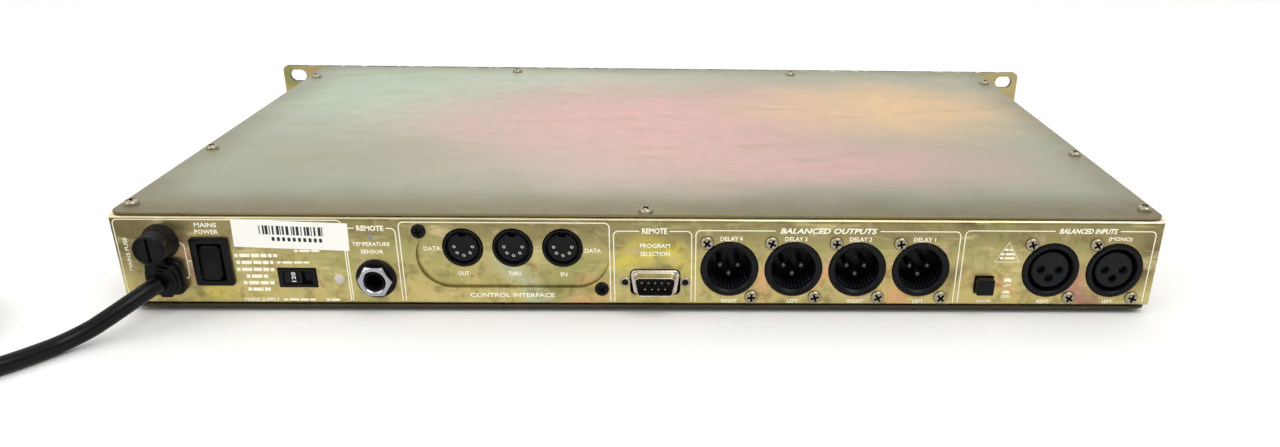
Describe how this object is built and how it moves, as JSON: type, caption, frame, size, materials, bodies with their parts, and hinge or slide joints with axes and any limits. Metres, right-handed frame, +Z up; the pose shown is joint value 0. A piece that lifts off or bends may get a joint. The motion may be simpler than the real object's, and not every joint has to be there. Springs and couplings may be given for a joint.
{
  "type": "rack effects unit",
  "caption": "One-unit-high 19-inch rack effects processor with front keys and data wheel, rear XLR, DIN and jack sockets, and a captive mains lead.",
  "frame": {"origin": "middle of the base: half-way across the unit, half-way from the knob face to the fuse cap, on the surface that it stands on", "axes": "+X to the right seen from the front, +Y from the front panel to the rear panel, +Z up"},
  "size_m": [0.6258, 0.3976, 0.0457],
  "materials": {
    "panel_paint": "satin dark blue-grey enamel",
    "window_tint": "smoked window",
    "passivated_zinc": "yellow-passivated zinc on sheet steel",
    "screw_steel": "zinc-plated",
    "bright_nickel": "bright nickel",
    "black_plastic": "moulded black",
    "cord_sheath": "glossy black PVC",
    "knob_grey": "light grey moulded",
    "cap_blue": "blue moulded",
    "lamp_dark": "dark lens",
    "board_green": "fibreglass circuit board",
    "transformer_iron": "laminated core",
    "fuse_glass": "clear glass tube"
  },
  "bodies": {
    "chassis": {"bottom_cover": "passivated_zinc", "bottom_screw_left": "screw_steel", "bottom_screw_right": "screw_steel", "cord_coil": "cord_sheath", "cord_gland": "black_plastic", "cord_tail": "cord_sheath", "cord_tie": "black_plastic", "din_socket_in": "black_plastic", "din_socket_out": "black_plastic", "din_socket_thru": "black_plastic", "display_board": "board_green", "display_window": "window_tint", "dsub_connector": "bright_nickel", "encoder_body": "black_plastic", "front_panel": "panel_paint", "fuse_holder": "black_plastic", "ground_lift_switch": "black_plastic", "interface_plate": "passivated_zinc", "jack_nut": "bright_nickel", "jack_socket": "black_plastic", "jack_washer": "black_plastic", "main_board": "board_green", "mains_cord": "cord_sheath", "mains_plug": "cord_sheath", "rear_panel": "passivated_zinc", "rocker_housing": "black_plastic", "side_panel_left": "passivated_zinc", "side_panel_right": "passivated_zinc", "status_lamp": "lamp_dark", "top_cover": "passivated_zinc", "top_screw_left": "screw_steel", "top_screw_rear": "screw_steel", "top_screw_right": "screw_steel", "transformer": "transformer_iron", "voltage_selector_housing": "black_plastic", "xlr_input_left": "black_plastic", "xlr_input_right": "black_plastic", "xlr_output_1": "bright_nickel", "xlr_output_2": "bright_nickel", "xlr_output_3": "bright_nickel", "xlr_output_4": "bright_nickel"},
    "level_button": {"level_button": "black_plastic"},
    "relative_button": {"relative_button": "black_plastic"},
    "channel_1_button": {"channel_1_button": "black_plastic"},
    "channel_2_button": {"channel_2_button": "black_plastic"},
    "channel_3_button": {"channel_3_button": "black_plastic"},
    "channel_4_button": {"channel_4_button": "black_plastic"},
    "program_button": {"program_button": "black_plastic"},
    "store_button": {"store_button": "black_plastic"},
    "recall_button": {"recall_button": "black_plastic"},
    "units_button": {"units_button": "black_plastic"},
    "bypass_button": {"bypass_button": "black_plastic"},
    "encoder_shaft": {"encoder_shaft": "screw_steel"},
    "data_wheel": {"knob": "knob_grey", "knob_cap": "cap_blue"},
    "power_rocker": {"power_rocker": "black_plastic"},
    "voltage_slider": {"voltage_slider": "black_plastic"},
    "ground_lift_button": {"ground_lift_button": "black_plastic"},
    "fuse_carrier": {"fuse": "fuse_glass"},
    "fuse_cap": {"fuse_cap": "black_plastic"}
  },
  "joints": [
    {"name": "level_press", "type": "slide", "parent": "chassis", "child": "level_button", "axis": [0, 1, 0], "range_m": [0, 0.001], "stiffness_N_per_m": 800},
    {"name": "relative_press", "type": "slide", "parent": "chassis", "child": "relative_button", "axis": [0, 1, 0], "range_m": [0, 0.001], "stiffness_N_per_m": 800},
    {"name": "channel_1_press", "type": "slide", "parent": "chassis", "child": "channel_1_button", "axis": [0, 1, 0], "range_m": [0, 0.001], "stiffness_N_per_m": 800},
    {"name": "channel_2_press", "type": "slide", "parent": "chassis", "child": "channel_2_button", "axis": [0, 1, 0], "range_m": [0, 0.001], "stiffness_N_per_m": 800},
    {"name": "channel_3_press", "type": "slide", "parent": "chassis", "child": "channel_3_button", "axis": [0, 1, 0], "range_m": [0, 0.001], "stiffness_N_per_m": 800},
    {"name": "channel_4_press", "type": "slide", "parent": "chassis", "child": "channel_4_button", "axis": [0, 1, 0], "range_m": [0, 0.001], "stiffness_N_per_m": 800},
    {"name": "program_press", "type": "slide", "parent": "chassis", "child": "program_button", "axis": [0, 1, 0], "range_m": [0, 0.001], "stiffness_N_per_m": 800},
    {"name": "store_press", "type": "slide", "parent": "chassis", "child": "store_button", "axis": [0, 1, 0], "range_m": [0, 0.001], "stiffness_N_per_m": 800},
    {"name": "recall_press", "type": "slide", "parent": "chassis", "child": "recall_button", "axis": [0, 1, 0], "range_m": [0, 0.001], "stiffness_N_per_m": 800},
    {"name": "units_press", "type": "slide", "parent": "chassis", "child": "units_button", "axis": [0, 1, 0], "range_m": [0, 0.001], "stiffness_N_per_m": 800},
    {"name": "bypass_press", "type": "slide", "parent": "chassis", "child": "bypass_button", "axis": [0, 1, 0], "range_m": [0, 0.001], "stiffness_N_per_m": 800},
    {"name": "data_wheel_push", "type": "slide", "parent": "chassis", "child": "encoder_shaft", "axis": [0, 1, 0], "range_m": [0, 0.0005], "stiffness_N_per_m": 900},
    {"name": "data_wheel_spin", "type": "hinge", "parent": "encoder_shaft", "child": "data_wheel", "pos_m": [0.1405, -0.14425, 0.0213], "axis": [0, -1, 0], "continuous": true},
    {"name": "power_rock", "type": "hinge", "parent": "chassis", "child": "power_rocker", "pos_m": [0.1765, 0.14775, 0.0229], "axis": [-1, 0, 0], "range_deg": [0, 14]},
    {"name": "voltage_select", "type": "slide", "parent": "chassis", "child": "voltage_slider", "axis": [-1, 0, 0], "range_m": [0, 0.004]},
    {"name": "ground_lift_press", "type": "slide", "parent": "chassis", "child": "ground_lift_button", "axis": [0, -1, 0], "range_m": [0, 0.0025], "stiffness_N_per_m": 500},
    {"name": "fuse_withdraw", "type": "slide", "parent": "chassis", "child": "fuse_carrier", "axis": [0, 1, 0], "range_m": [0, 0.035]},
    {"name": "fuse_cap_turn", "type": "hinge", "parent": "fuse_carrier", "child": "fuse_cap", "pos_m": [0.1956, 0.14875, 0.0316], "axis": [0, 1, 0], "range_deg": [0, 90]}
  ]
}
